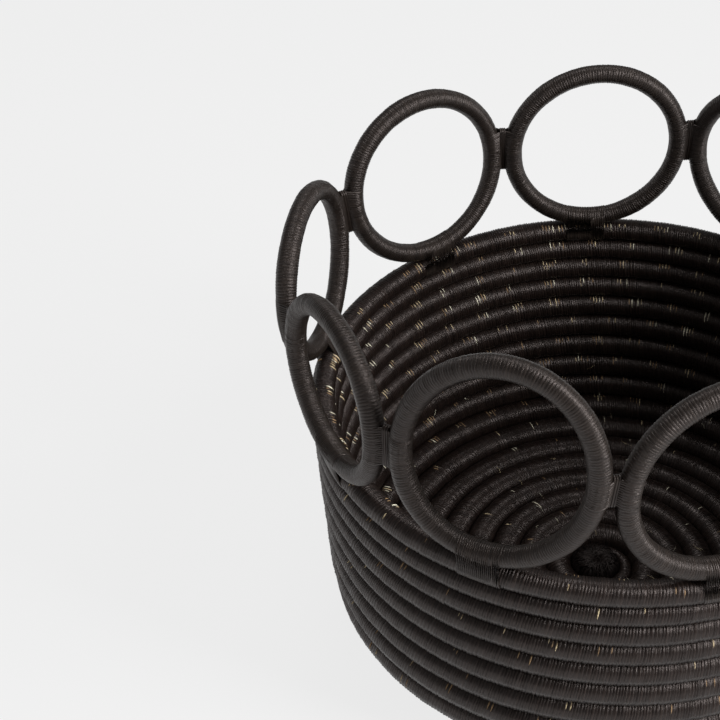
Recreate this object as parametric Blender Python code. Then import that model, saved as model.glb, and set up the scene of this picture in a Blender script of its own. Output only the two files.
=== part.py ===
"""A coiled sisal basket: one wrapped cord wound into a bowl, with cord hoops sewn along its rim.

Metres, +Z up. The origin is the middle of the underside, on the surface that the basket stands on.
Azimuths start at the front, along -Y, and grow clockwise seen from above, so 90 degrees is along -X.
"""

import math
from collections import namedtuple

import bmesh
import bpy
from mathutils import Vector

MM = 0.001
TURN = 2 * math.pi

# The body cord: its rounds lie edge to edge, first flat as a base and then stacked as a wall, where
# the cord thins steadily up to the rim.
BASE_PITCH = 12.9 * MM
RIM_PITCH = 9.5 * MM
THINNING_ROUNDS = 9
COIL_GAP = 0.6 * MM
LEAST_COIL_GAP = 0.25 * MM
POINTS_PER_ROUND = 24
PRESSED_SHARE = 0.1
START_THICKNESS = 1.8 * MM
END_THICKNESS = 3.0 * MM
END_TAPER_LENGTH = 60.0 * MM

# The bowl's profile, measured to the middle of the cord.
RIM_RADIUS = 120.0 * MM
RIM_HEIGHT = 118.0 * MM
WALL_LEAN = math.radians(3.1)
CORNER_RADIUS = 17.0 * MM
SWEEP_RADIUS = 65.0 * MM
SWEEP_ANGLE = math.radians(30.0)
RIM_END_AZIMUTH = math.radians(284.0)

# The knot that the cord starts from.
KNOT_RADIUS = 11.0 * MM
KNOT_HEIGHT = 12.0 * MM
KNOT_EDGE = 2.0 * MM
KNOT_SIDES = 24

# The hoops. The height runs from the middle of the cord at the foot to its middle at the top.
HOOP_CORD = 8.2 * MM
HOOP_HEIGHT = 74.0 * MM
HOOP_SEAT_GAP = 0.4 * MM
HOOP_POINTS = 28
FIRST_HOOP_AZIMUTH = math.radians(-13.6)

# Each hoop is bent by hand, so each has its own shape. Widths are compared with one another, because
# together they fill the rim, and heights with HOOP_HEIGHT. The skew draws the oval up to one side. The
# seat is how far the hoop stands outside the middle of the rim, and the spacing is the room left before
# the next hoop, both in cords.
HandBent = namedtuple("HandBent", "width height skew lean seat spacing")
HAND_BENT = (
    HandBent(1.01, 1.055, math.radians(0.0), math.radians(-1.5), -0.06, 0.2),
    HandBent(0.96, 1.138, math.radians(-8.5), math.radians(-1.0), 0.18, 0.31),
    HandBent(0.992, 0.891, math.radians(-4.9), math.radians(-1.0), 0.42, 0.13),
    HandBent(1.0, 0.901, math.radians(-3.3), math.radians(2.2), 0.48, -0.17),
    HandBent(1.055, 1.019, math.radians(-5.0), math.radians(2.2), -0.2, 0.12),
    HandBent(1.005, 1.009, math.radians(3.8), math.radians(-0.4), -0.3, 0.06),
    HandBent(1.066, 0.97, math.radians(-2.0), math.radians(2.0), -0.06, 0.12),
    HandBent(1.056, 1.03, math.radians(4.0), math.radians(-1.0), 0.18, 0.06),
    HandBent(1.066, 0.985, math.radians(-3.0), math.radians(1.5), 0.0, 0.12),
)

# The lashings, each a shell of thread wound round two cords.
THREAD = 0.8 * MM
THREAD_GAP = 0.4 * MM
RIM_LASHING_LENGTH = 18.0 * MM
RIM_LASHING_STEPS = 4
LEG_ANGLE = math.radians(150.0)
LEG_FACETS = 2
CROWN_FACETS = 6
SIDE_LASHING_HEIGHT = 16.0 * MM
SIDE_LASHING_STEPS = 4
SIDE_FACETS = 8
SIDE_WAIST = 1.2 * MM

# Colours and roughness, sampled by eye: sisal dyed almost black.
BODY_COLOUR = (0.022, 0.017, 0.016)
HOOP_COLOUR = (0.026, 0.021, 0.020)
LASHING_COLOUR = (0.018, 0.014, 0.013)
SISAL_ROUGHNESS = 0.62


def clear_scene():
    for thing in list(bpy.data.objects):
        bpy.data.objects.remove(thing)


def sisal(name, colour):
    """A dyed sisal material of this colour."""
    material = bpy.data.materials.new(name)
    material.use_nodes = True
    shader = material.node_tree.nodes["Principled BSDF"]
    shader.inputs["Base Color"].default_value = (*colour, 1.0)
    shader.inputs["Roughness"].default_value = SISAL_ROUGHNESS
    shader.inputs["Metallic"].default_value = 0.0
    material.diffuse_color = (*colour, 1.0)
    return material


def add_object(name, data, colour, parent):
    """Put the curve or mesh in the scene under its own name and in its own material."""
    data.materials.append(sisal(name, colour))
    thing = bpy.data.objects.new(name, data)
    thing.parent = parent
    bpy.context.scene.collection.objects.link(thing)
    return thing


def outward(azimuth):
    return Vector((-math.sin(azimuth), -math.cos(azimuth), 0.0))


def polar(radius, azimuth, height):
    return outward(azimuth) * radius + Vector((0.0, 0.0, height))


def cord_curve(name, points, thickness, rounding):
    """A tube through (position, share of the thickness, tilt), with 4 + 2 x rounding sides."""
    curve = bpy.data.curves.new(name, "CURVE")
    curve.dimensions = "3D"
    curve.bevel_depth = thickness / 2
    curve.bevel_resolution = rounding
    curve.use_fill_caps = True
    spline = curve.splines.new("POLY")
    spline.points.add(len(points) - 1)
    for target, (position, share, tilt) in zip(spline.points, points):
        target.co = (*position, 1.0)
        target.radius = share
        target.tilt = tilt
    return curve


def mesh_of(name, build):
    """A smooth-shaded mesh from build(bm), which fills a bmesh."""
    bm = bmesh.new()
    build(bm)
    bmesh.ops.recalc_face_normals(bm, faces=bm.faces)
    mesh = bpy.data.meshes.new(name)
    bm.to_mesh(mesh)
    bm.free()
    mesh.shade_smooth()
    mesh.set_sharp_from_angle(angle=math.radians(40))
    return mesh


# The bowl's profile


class Profile:
    """The line that the middle of the cord follows.

    It runs flat from the middle, sweeps up gently, turns a tighter corner and climbs the leaning wall.
    """

    def __init__(self):
        usual_cord = (BASE_PITCH + RIM_PITCH) / 2 - COIL_GAP
        self.base_height = usual_cord * (0.5 - PRESSED_SHARE)
        self.steepest = TURN / 4 - WALL_LEAN
        sweep = self.turned(SWEEP_RADIUS, 0.0, SWEEP_ANGLE)
        corner = self.turned(CORNER_RADIUS, SWEEP_ANGLE, self.steepest)
        climb = RIM_HEIGHT - self.base_height - sweep[1] - corner[1]
        self.wall = climb / math.sin(self.steepest)
        self.flat = RIM_RADIUS - self.wall * math.cos(self.steepest) - sweep[0] - corner[0]
        self.sweep = SWEEP_RADIUS * SWEEP_ANGLE
        self.corner = CORNER_RADIUS * (self.steepest - SWEEP_ANGLE)
        self.length = self.flat + self.sweep + self.corner + self.wall

    @staticmethod
    def turned(radius, start, end):
        """How far out and up an arc of this radius leads, from one slope to another."""
        return radius * (math.sin(end) - math.sin(start)), radius * (math.cos(start) - math.cos(end))

    def at(self, along):
        """(radius, height, slope) at this distance along the profile from the middle of the base."""
        level = min(along, self.flat)
        on_sweep = min(max(along - self.flat, 0.0), self.sweep)
        on_corner = min(max(along - self.flat - self.sweep, 0.0), self.corner)
        on_wall = max(along - self.length + self.wall, 0.0)
        swept = on_sweep / SWEEP_RADIUS
        slope = swept + on_corner / CORNER_RADIUS
        sweep = self.turned(SWEEP_RADIUS, 0.0, swept)
        corner = self.turned(CORNER_RADIUS, swept, slope)
        radius = level + sweep[0] + corner[0] + on_wall * math.cos(slope)
        height = self.base_height + sweep[1] + corner[1] + on_wall * math.sin(slope)
        return radius, height, slope


class BodyCord:
    """The winding: rounds counted outwards from the knot, each lying against the one before."""

    def __init__(self):
        self.profile = Profile()
        thinned = THINNING_ROUNDS * (BASE_PITCH + RIM_PITCH) / 2
        full = self.profile.length + RIM_PITCH / 2 - KNOT_RADIUS - thinned
        self.rounds = THINNING_ROUNDS + full / BASE_PITCH
        self.first = (START_THICKNESS + COIL_GAP) / BASE_PITCH
        self.taper = END_TAPER_LENGTH / (TURN * RIM_RADIUS)
        steps = math.ceil((self.rounds - self.first) * POINTS_PER_ROUND)
        self.step = (self.rounds - self.first) / steps
        self.stations = [self.section(self.first + i * self.step) for i in range(steps + 1)]

    def azimuth(self, rounds):
        return RIM_END_AZIMUTH + (rounds - self.rounds) * TURN

    def outer_edge(self, rounds):
        """How far along the profile the winding reaches after this many rounds."""
        thin = max(rounds - self.rounds + THINNING_ROUNDS, 0.0)
        lost = (BASE_PITCH - RIM_PITCH) / THINNING_ROUNDS * thin ** 2 / 2
        return KNOT_RADIUS + BASE_PITCH * rounds - lost

    def section(self, rounds):
        """(position, thickness, slope) of the cord after this many rounds."""
        inner = self.outer_edge(max(rounds - 1, 0.0))
        thickness = self.outer_edge(rounds) - inner - COIL_GAP
        left = (self.rounds - rounds) / self.taper
        if left < 1:
            thickness = END_THICKNESS + (thickness - END_THICKNESS) * math.sin(max(left, 0.0) * math.pi / 2)
        radius, height, slope = self.profile.at(inner + (COIL_GAP + thickness) / 2)
        return polar(radius, self.azimuth(rounds), height), thickness, slope

    def least_gap(self):
        """The smallest space between one round and another, measured on the cord's own points."""
        nearest = math.inf
        for i, (here, thick, _) in enumerate(self.stations):
            for there, other, _ in self.stations[i + POINTS_PER_ROUND // 2:]:
                nearest = min(nearest, (here - there).length - (thick + other) / 2)
        return nearest

    def rim(self, azimuth):
        """(position, thickness) of the topmost round at this azimuth, on its straight facets."""
        rounds = self.rounds - (RIM_END_AZIMUTH - azimuth) % TURN / TURN
        place = (rounds - self.first) / self.step
        index = min(int(place), len(self.stations) - 2)
        share = place - index
        before, after = self.stations[index], self.stations[index + 1]
        return before[0].lerp(after[0], share), before[1] + (after[1] - before[1]) * share


def add_body(cord, parent):
    full = BASE_PITCH - COIL_GAP
    points = [(position, thickness / full, slope) for position, thickness, slope in cord.stations]
    curve = cord_curve("body_coil", points, full, rounding=1)
    curve.twist_mode = "Z_UP"
    guide = bpy.data.objects.new("body_coil_guide", curve)
    mesh = bpy.data.meshes.new_from_object(guide)
    bpy.data.objects.remove(guide)
    bpy.data.curves.remove(curve)
    mesh.name = "body_coil"
    for vertex in mesh.vertices:
        # The cord is pressed flat where the basket stands on it.
        vertex.co.z = max(vertex.co.z, 0.0)
    mesh.shade_smooth()
    mesh.set_sharp_from_angle(angle=math.radians(70))
    return add_object("body_coil", mesh, BODY_COLOUR, parent)


def add_knot(parent):
    outline = (
        (0.0, 0.0),
        (KNOT_RADIUS - KNOT_EDGE, 0.0),
        (KNOT_RADIUS, KNOT_EDGE),
        (KNOT_RADIUS, KNOT_HEIGHT * 0.55),
        (KNOT_RADIUS * 0.86, KNOT_HEIGHT * 0.84),
        (KNOT_RADIUS * 0.56, KNOT_HEIGHT),
        (KNOT_RADIUS * 0.22, KNOT_HEIGHT * 0.96),
        (0.0, KNOT_HEIGHT * 0.86),
    )

    def build(bm):
        corners = [bm.verts.new((radius, 0.0, height)) for radius, height in outline]
        edges = [bm.edges.new(pair) for pair in zip(corners, corners[1:])]
        bmesh.ops.spin(
            bm, geom=corners + edges, cent=(0, 0, 0), axis=(0, 0, 1), angle=TURN, steps=KNOT_SIDES,
            use_merge=True,
        )
        bmesh.ops.remove_doubles(bm, verts=bm.verts, dist=0.001 * MM)

    return add_object("start_knot", mesh_of("start_knot", build), BODY_COLOUR, parent)


# The hoops


class Hoop:
    """One hoop: an upright oval whose lowest point sits on the rim."""

    def __init__(self, number, shape, azimuth, half_width, cord):
        self.name = f"hoop_{number}"
        self.azimuth = azimuth
        self.half_width = half_width
        self.half_height = HOOP_HEIGHT * shape.height / 2
        self.skew = shape.skew
        self.lean = shape.lean
        self.foot = -half_width * math.sin(shape.skew)
        radius = true_rim_radius(cord, azimuth) + HOOP_CORD * shape.seat
        rim, rim_cord = cord.rim(azimuth + math.asin(self.foot / radius))
        reach = (rim_cord + HOOP_CORD) / 2 + HOOP_SEAT_GAP
        aside = radius - rim.xy.length
        rise = math.sqrt(reach ** 2 - aside ** 2)
        self.base = polar(radius, azimuth, rim.z + rise)
        self.along = outward(azimuth + TURN / 4)
        self.up = outward(azimuth) * math.sin(self.lean) + Vector((0, 0, math.cos(self.lean)))

    def across_and_rise(self, angle):
        """How far along the rim and how high above the foot, at this angle round the oval."""
        return self.half_width * math.cos(angle - self.skew), self.half_height * (1 + math.sin(angle))

    def at(self, angle):
        across, rise = self.across_and_rise(angle)
        return self.base + self.along * across + self.up * rise

    def side_height(self, side):
        """Where the hoop is widest, on the side towards higher (+1) or lower (-1) azimuths."""
        return self.base.z + self.half_height * (1 + side * math.sin(self.skew)) * math.cos(self.lean)

    def angle_beside(self, along):
        """The angle in the lower half at this distance along the rim from the hoop's middle."""
        return self.skew - math.acos(along / self.half_width)

    def angle_at_height(self, height, side):
        above = (height - self.base.z) / (self.half_height * math.cos(self.lean)) - 1
        return math.asin(above) if side > 0 else TURN / 2 - math.asin(above)

    def slope(self, angle):
        """How steeply the cord climbs at this angle."""
        climb = self.half_height * math.cos(angle)
        level = self.half_width * math.sin(angle - self.skew)
        return math.atan2(abs(climb), abs(level))

    def upright_radius(self, angle):
        """The largest radius of an upright cut through the cord, which slopes at this angle."""
        return HOOP_CORD / 2 / math.cos(self.slope(angle))

    def level_radius(self, angle):
        """The largest radius of a level cut through the cord, which leans and slopes at this angle."""
        return HOOP_CORD / 2 / (math.sin(self.slope(angle)) * math.cos(self.lean))

    def add(self, parent):
        points = []
        for i in range(HOOP_POINTS):
            across, rise = self.across_and_rise(i / HOOP_POINTS * TURN - TURN / 4)
            points.append(((-across, 0.0, rise), 1.0, 0.0))
        curve = cord_curve(self.name, points, HOOP_CORD, rounding=2)
        curve.splines[0].use_cyclic_u = True
        curve.twist_mode = "MINIMUM"
        hoop = add_object(self.name, curve, HOOP_COLOUR, parent)
        hoop.location = self.base
        hoop.rotation_euler = (self.lean, 0.0, -self.azimuth)
        return hoop


def true_rim_radius(cord, azimuth):
    """The rim's radius at this azimuth on the round line, not on the cord's straight facets."""
    rounds = cord.rounds - (RIM_END_AZIMUTH - azimuth) % TURN / TURN
    return cord.section(rounds)[0].xy.length


def half_angle(half_width, distance, spacing):
    """The angle round the basket from a hoop's middle to the middle of the space beside it."""
    reach = math.hypot(half_width, distance)
    return math.atan2(half_width, distance) + math.asin(HOOP_CORD * (1 + spacing) / 2 / reach)


def place_hoops(cord):
    """Hoops of the compared widths, scaled together until they fill the rim side by side."""
    count = len(HAND_BENT)
    azimuths = [FIRST_HOOP_AZIMUTH + i * TURN / count for i in range(count)]
    for _ in range(4):
        distances = []
        for azimuth, shape in zip(azimuths, HAND_BENT):
            leant = HOOP_HEIGHT * shape.height / 2 * math.sin(shape.lean)
            distances.append(true_rim_radius(cord, azimuth) + HOOP_CORD * shape.seat + leant)
        low, high = 0.0, 2 * RIM_RADIUS
        for _ in range(60):
            unit = (low + high) / 2
            before = []
            after = []
            for i, (shape, distance) in enumerate(zip(HAND_BENT, distances)):
                before.append(half_angle(unit * shape.width, distance, HAND_BENT[i - 1].spacing))
                after.append(half_angle(unit * shape.width, distance, shape.spacing))
            if sum(before) + sum(after) > TURN:
                high = unit
            else:
                low = unit
        for i in range(1, count):
            azimuths[i] = azimuths[i - 1] + after[i - 1] + before[i]
    return [
        Hoop(i + 1, shape, azimuth, unit * shape.width, cord)
        for i, (shape, azimuth) in enumerate(zip(HAND_BENT, azimuths))
    ]


# The lashings


def arc(centre, radius, start, end, facets):
    """Points round a circle in the plane of two numbers, angles measured from its second axis."""
    turns = [start + (end - start) * i / facets for i in range(facets + 1)]
    return [(centre[0] + radius * math.sin(a), centre[1] + radius * math.cos(a)) for a in turns]


def horseshoe(lower, upper, lower_radius, upper_radius):
    """The outline of a band over the upper circle and down both sides of the lower one."""
    tilt = math.atan2(upper[0] - lower[0], upper[1] - lower[1])
    apart = math.dist(lower, upper)
    touch = math.acos((lower_radius - upper_radius) / apart)
    left = arc(lower, lower_radius, -LEG_ANGLE, tilt - touch, LEG_FACETS)
    crown = arc(upper, upper_radius, tilt - touch, tilt + touch, CROWN_FACETS)
    right = arc(lower, lower_radius, tilt + touch, LEG_ANGLE, LEG_FACETS)
    return left + crown + right


def waist_beside(radius, half, waist):
    """The waist's half width, which is never inside the two circles where they overlap."""
    return max(waist, math.sqrt(max(radius ** 2 - half ** 2, 0.0)))


def sweep_to_waist(radius, half, waist):
    """How far round a circle a band goes before it leaves straight for the waist."""
    return TURN / 2 - math.atan2(waist, half) - math.acos(min(radius / math.hypot(half, waist), 1.0))


def waisted(first, second, radius, waist):
    """The outline of a band round two circles of one radius, drawn in between them to this waist."""
    tilt = math.atan2(second[0] - first[0], second[1] - first[1])
    half = math.dist(first, second) / 2
    sweep = sweep_to_waist(radius, half, waist_beside(radius, half, waist))
    radius /= math.cos(sweep / SIDE_FACETS)
    waist = waist_beside(radius, half, waist)
    sweep = sweep_to_waist(radius, half, waist)
    near = arc(second, radius, tilt - sweep, tilt + sweep, SIDE_FACETS)
    far = arc(first, radius, tilt + TURN / 2 - sweep, tilt + TURN / 2 + sweep, SIDE_FACETS)
    middle = ((first[0] + second[0]) / 2, (first[1] + second[1]) / 2)
    beside = (math.cos(tilt) * waist, -math.sin(tilt) * waist)
    after_near = (middle[0] + beside[0], middle[1] + beside[1])
    after_far = (middle[0] - beside[0], middle[1] - beside[1])
    return near + [after_near] + far + [after_far]


def build_shell(bm, outer, inner, closed):
    """Join rows of outer points and rows of inner points into one shell of thread.

    A closed shell goes all the way round its cords; an open one ends in two legs.
    """
    outer = [[bm.verts.new(point) for point in row] for row in outer]
    inner = [[bm.verts.new(point) for point in row] for row in inner]
    count = len(outer[0])
    pairs = [(i, (i + 1) % count) for i in range(count if closed else count - 1)]
    for rows in (outer, inner):
        for row, following in zip(rows, rows[1:]):
            for i, j in pairs:
                bm.faces.new((row[i], row[j], following[j], following[i]))
    for end in (0, -1):
        for i, j in pairs:
            bm.faces.new((outer[end][i], outer[end][j], inner[end][j], inner[end][i]))
    if not closed:
        for leg in (0, count - 1):
            for k in range(len(outer) - 1):
                bm.faces.new((outer[k][leg], outer[k + 1][leg], inner[k + 1][leg], inner[k][leg]))
    bmesh.ops.triangulate(bm, faces=bm.faces)


def steps_across(length, steps):
    return [length * (i / steps - 0.5) for i in range(steps + 1)]


def facet_slack(length, steps, sides):
    """How far a cord's corner can stand out of a straight step of a lashing round it."""
    return length / steps / 2 * math.tan(math.pi / sides)


def add_rim_lashing(number, hoop, cord, parent):
    """Thread over the foot of a hoop and down both sides of the rim, as far as the next round."""
    rim_reach = THREAD_GAP + facet_slack(RIM_LASHING_LENGTH, RIM_LASHING_STEPS, POINTS_PER_ROUND)
    hoop_reach = THREAD_GAP + facet_slack(RIM_LASHING_LENGTH, RIM_LASHING_STEPS, HOOP_POINTS)
    out = outward(hoop.azimuth)
    rows = {0.0: [], THREAD: []}
    for step in steps_across(RIM_LASHING_LENGTH, RIM_LASHING_STEPS):
        along = hoop.foot + step
        angle = hoop.angle_beside(along)
        upper = hoop.at(angle)
        rim, rim_cord = cord.rim(hoop.azimuth + math.asin(along / hoop.base.xy.length))
        lower_at = (rim.dot(out) - hoop.base.dot(out), rim.z - hoop.base.z)
        upper_at = (upper.dot(out) - hoop.base.dot(out), upper.z - hoop.base.z)
        for thickness, found in rows.items():
            outline = horseshoe(
                lower_at, upper_at, rim_cord / 2 + rim_reach + thickness,
                hoop.upright_radius(angle) + hoop_reach + thickness,
            )
            found.append([(-along, -x, z) for x, z in outline])
    name = f"rim_lashing_{number}"
    mesh = mesh_of(name, lambda bm: build_shell(bm, rows[THREAD], rows[0.0], closed=False))
    lashing = add_object(name, mesh, LASHING_COLOUR, parent)
    lashing.location = hoop.base
    lashing.rotation_euler = (0.0, 0.0, -hoop.azimuth)
    return lashing


def add_side_lashing(number, hoop, following, parent):
    """Thread all the way round two neighbouring hoops, where they stand side by side."""
    middle = (hoop.side_height(+1) + following.side_height(-1)) / 2
    ends = (middle - SIDE_LASHING_HEIGHT / 2, middle + SIDE_LASHING_HEIGHT / 2)
    widest = max(
        max(hoop.level_radius(hoop.angle_at_height(end, +1)) for end in ends),
        max(following.level_radius(following.angle_at_height(end, -1)) for end in ends),
    )
    reach = widest + THREAD_GAP + facet_slack(SIDE_LASHING_HEIGHT, SIDE_LASHING_STEPS, HOOP_POINTS)
    centre = (hoop.at(hoop.angle_at_height(middle, +1)) + following.at(following.angle_at_height(middle, -1))) / 2
    rows = {0.0: [], THREAD: []}
    for rise in steps_across(SIDE_LASHING_HEIGHT, SIDE_LASHING_STEPS):
        first = hoop.at(hoop.angle_at_height(middle + rise, +1)) - centre
        second = following.at(following.angle_at_height(middle + rise, -1)) - centre
        for thickness, found in rows.items():
            outline = waisted(first.xy, second.xy, reach + thickness, SIDE_WAIST + thickness)
            found.append([(x, y, rise) for x, y in outline])
    name = f"side_lashing_{number}"
    mesh = mesh_of(name, lambda bm: build_shell(bm, rows[THREAD], rows[0.0], closed=True))
    lashing = add_object(name, mesh, LASHING_COLOUR, parent)
    lashing.location = centre
    return lashing


def main():
    clear_scene()
    basket = bpy.data.objects.new("basket", None)
    bpy.context.scene.collection.objects.link(basket)
    cord = BodyCord()
    gap = cord.least_gap()
    print(f"body cord: {cord.rounds:.1f} rounds, least gap to itself {gap / MM:.2f} mm,", end=" ")
    print("wide enough" if gap > LEAST_COIL_GAP else "too narrow")
    add_body(cord, basket)
    add_knot(basket)
    hoops = place_hoops(cord)
    for i, hoop in enumerate(hoops):
        following = hoops[(i + 1) % len(hoops)]
        hoop.add(basket)
        add_rim_lashing(i + 1, hoop, cord, basket)
        add_side_lashing(i + 1, hoop, following, basket)


main()
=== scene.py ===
"""A coiled sisal basket with a ring of cord hoops sewn along its rim, wound and lashed turn by turn."""

import math
import random
from collections import namedtuple

import bmesh
import bpy
from mathutils import Matrix, Vector


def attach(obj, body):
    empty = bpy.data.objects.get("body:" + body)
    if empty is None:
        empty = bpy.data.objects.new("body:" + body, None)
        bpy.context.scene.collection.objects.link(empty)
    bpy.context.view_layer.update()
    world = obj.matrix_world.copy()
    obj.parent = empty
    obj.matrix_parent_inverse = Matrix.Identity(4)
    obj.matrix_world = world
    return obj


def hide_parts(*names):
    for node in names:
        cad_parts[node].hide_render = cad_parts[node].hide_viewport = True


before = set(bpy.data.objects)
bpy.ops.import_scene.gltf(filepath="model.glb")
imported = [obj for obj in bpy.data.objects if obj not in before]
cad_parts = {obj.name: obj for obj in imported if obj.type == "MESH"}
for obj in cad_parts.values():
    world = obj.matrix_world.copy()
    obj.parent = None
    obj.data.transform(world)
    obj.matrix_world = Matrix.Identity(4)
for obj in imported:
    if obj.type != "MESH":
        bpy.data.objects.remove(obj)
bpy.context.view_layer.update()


# The body cord. One bundle of straw about ten metres long, wrapped edge to edge with dyed sisal and
# wound round and round: first flat as the base, then stacked as the wall. Every two centimetres a
# stitch goes through the round before, which draws the rounds together.
MM = 0.001
TURN = 2 * math.pi
# From one round to the next, in the base and at the rim, and over how many rounds the cord gets thinner.
BASE_PITCH = 12.9 * MM
RIM_PITCH = 9.5 * MM
THINNING_ROUNDS = 9
START_THICKNESS = 1.8 * MM
END_THICKNESS = 3.0 * MM
END_TAPER_LENGTH = 60.0 * MM
COIL_GAP = 0.6 * MM
PRESSED_SHARE = 0.1
# The outline from the knot to the rim: flat, then a wide sweep, a tighter corner and a leaning wall.
KNOT_RADIUS = 11.0 * MM
SWEEP_RADIUS = 65.0 * MM
SWEEP_ANGLE = math.radians(30.0)
CORNER_RADIUS = 17.0 * MM
WALL_LEAN = math.radians(3.1)
RIM_RADIUS = 120.0 * MM
RIM_HEIGHT = 118.0 * MM
RIM_END_AZIMUTH = math.radians(284.0)
# The wraps. Widths vary between two shares of the usual one, and grooves have one of four depths.
WRAP_WIDTH = 1.1 * MM
WRAP_WIDTH_SHARES = (0.85, 1.15)
WRAP_SLANT = math.tan(math.radians(8.0))
GROOVE_DEPTH = 0.26 * MM
GROOVE_DEPTH_SHARES = (0.6, 0.8, 1.0, 1.3)
DEEPEST_GROOVE_SHARE = 0.125
CREST_UNEVENNESS = 0.09 * MM
# A wrap's groove and the two edges of its crest: how far into its width and into its count each lies.
WRAP_RINGS = ((0.0, 0.0), (0.3, 0.33), (0.7, 0.67))
# At each stitch a few wraps are pulled apart, and a slit opens beside each of them.
STITCH_SPACING = 19.2 * MM
STITCH_SPACING_SHARES = (0.94, 1.06)
STITCH_DRIFT = 0.34
OPEN_WRAPS = (2, 3, 4, 4, 5)
SLIT_WIDTH = 0.45 * MM
# The cord swells and thins in long waves, given as length and depth, and fills the gap to the next round.
BODY_SWELLS = ((310 * MM, 0.012), (83 * MM, 0.012), (37 * MM, 0.008))
BODY_FULLNESS = 1.05
BODY_SIDES = 12
BODY_PIECES = 4


def outward(azimuth):
    """The level direction away from the middle; azimuths start at the front and grow clockwise."""
    return Vector((-math.sin(azimuth), -math.cos(azimuth), 0.0))


def polar(radius, azimuth, height):
    """The point this far from the basket's axis, in this direction and at this height."""
    return outward(azimuth) * radius + Vector((0.0, 0.0, height))


class Profile:
    """The line from the middle of the base to the rim that the cord's middle follows."""

    def __init__(self):
        usual_cord = (BASE_PITCH + RIM_PITCH) / 2 - COIL_GAP
        self.base_height = usual_cord * (0.5 - PRESSED_SHARE)
        self.steepest = TURN / 4 - WALL_LEAN
        sweep = self.turned(SWEEP_RADIUS, 0.0, SWEEP_ANGLE)
        corner = self.turned(CORNER_RADIUS, SWEEP_ANGLE, self.steepest)
        climb = RIM_HEIGHT - self.base_height - sweep[1] - corner[1]
        self.wall = climb / math.sin(self.steepest)
        self.flat = RIM_RADIUS - self.wall * math.cos(self.steepest) - sweep[0] - corner[0]
        self.sweep = SWEEP_RADIUS * SWEEP_ANGLE
        self.corner = CORNER_RADIUS * (self.steepest - SWEEP_ANGLE)
        self.length = self.flat + self.sweep + self.corner + self.wall

    @staticmethod
    def turned(radius, start, end):
        """How far out and up an arc of this radius leads, from one slope to another."""
        return radius * (math.sin(end) - math.sin(start)), radius * (math.cos(start) - math.cos(end))

    def at(self, along):
        """(radius, height, slope) at this distance along the profile from the middle of the base."""
        level = min(along, self.flat)
        on_sweep = min(max(along - self.flat, 0.0), self.sweep)
        on_corner = min(max(along - self.flat - self.sweep, 0.0), self.corner)
        on_wall = max(along - self.length + self.wall, 0.0)
        swept = on_sweep / SWEEP_RADIUS
        slope = swept + on_corner / CORNER_RADIUS
        sweep = self.turned(SWEEP_RADIUS, 0.0, swept)
        corner = self.turned(CORNER_RADIUS, swept, slope)
        radius = level + sweep[0] + corner[0] + on_wall * math.cos(slope)
        height = self.base_height + sweep[1] + corner[1] + on_wall * math.sin(slope)
        return radius, height, slope


profile = Profile()
rounds_in_all = THINNING_ROUNDS + (
    profile.length + RIM_PITCH / 2 - KNOT_RADIUS - THINNING_ROUNDS * (BASE_PITCH + RIM_PITCH) / 2
) / BASE_PITCH
first_round = (START_THICKNESS + COIL_GAP) / BASE_PITCH
taper_rounds = END_TAPER_LENGTH / (TURN * RIM_RADIUS)
CordSection = namedtuple("CordSection", "middle thickness slope radius")
Ring = namedtuple("Ring", "middle radius tilt wraps rounds", defaults=(None,))


def outer_edge(rounds):
    """How far along the profile the winding reaches after this many rounds."""
    thin = max(rounds - rounds_in_all + THINNING_ROUNDS, 0.0)
    return KNOT_RADIUS + BASE_PITCH * rounds - (BASE_PITCH - RIM_PITCH) / THINNING_ROUNDS * thin ** 2 / 2


def body_azimuth(rounds):
    return RIM_END_AZIMUTH + (rounds - rounds_in_all) * TURN


def body_section(rounds):
    """The body cord where it is this many rounds from its start."""
    inner = outer_edge(max(rounds - 1, 0.0))
    thickness = outer_edge(rounds) - inner
    left = (rounds_in_all - rounds) / taper_rounds
    if left < 1:
        thickness = END_THICKNESS + (thickness - END_THICKNESS) * math.sin(max(left, 0.0) * math.pi / 2)
    radius, height, slope = profile.at(inner + thickness / 2)
    return CordSection(polar(radius, body_azimuth(rounds), height), thickness, slope, radius)


def cord_directions(rounds, slope):
    """From the body cord into the basket, towards the next round, and along the cord."""
    azimuth = body_azimuth(rounds)
    inward = Vector((0, 0, math.cos(slope))) - outward(azimuth) * math.sin(slope)
    upward = outward(azimuth) * math.cos(slope) + Vector((0, 0, math.sin(slope)))
    return inward, upward, outward(azimuth + TURN / 4)


def wandering(seed, swells):
    """A smooth random number along a cord, from waves of these lengths and depths."""
    chance = random.Random(seed)
    waves = [(TURN / length, chance.uniform(0, TURN), depth) for length, depth in swells]
    return lambda along: sum(depth * math.sin(along * rate + start) for rate, start, depth in waves)


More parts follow.
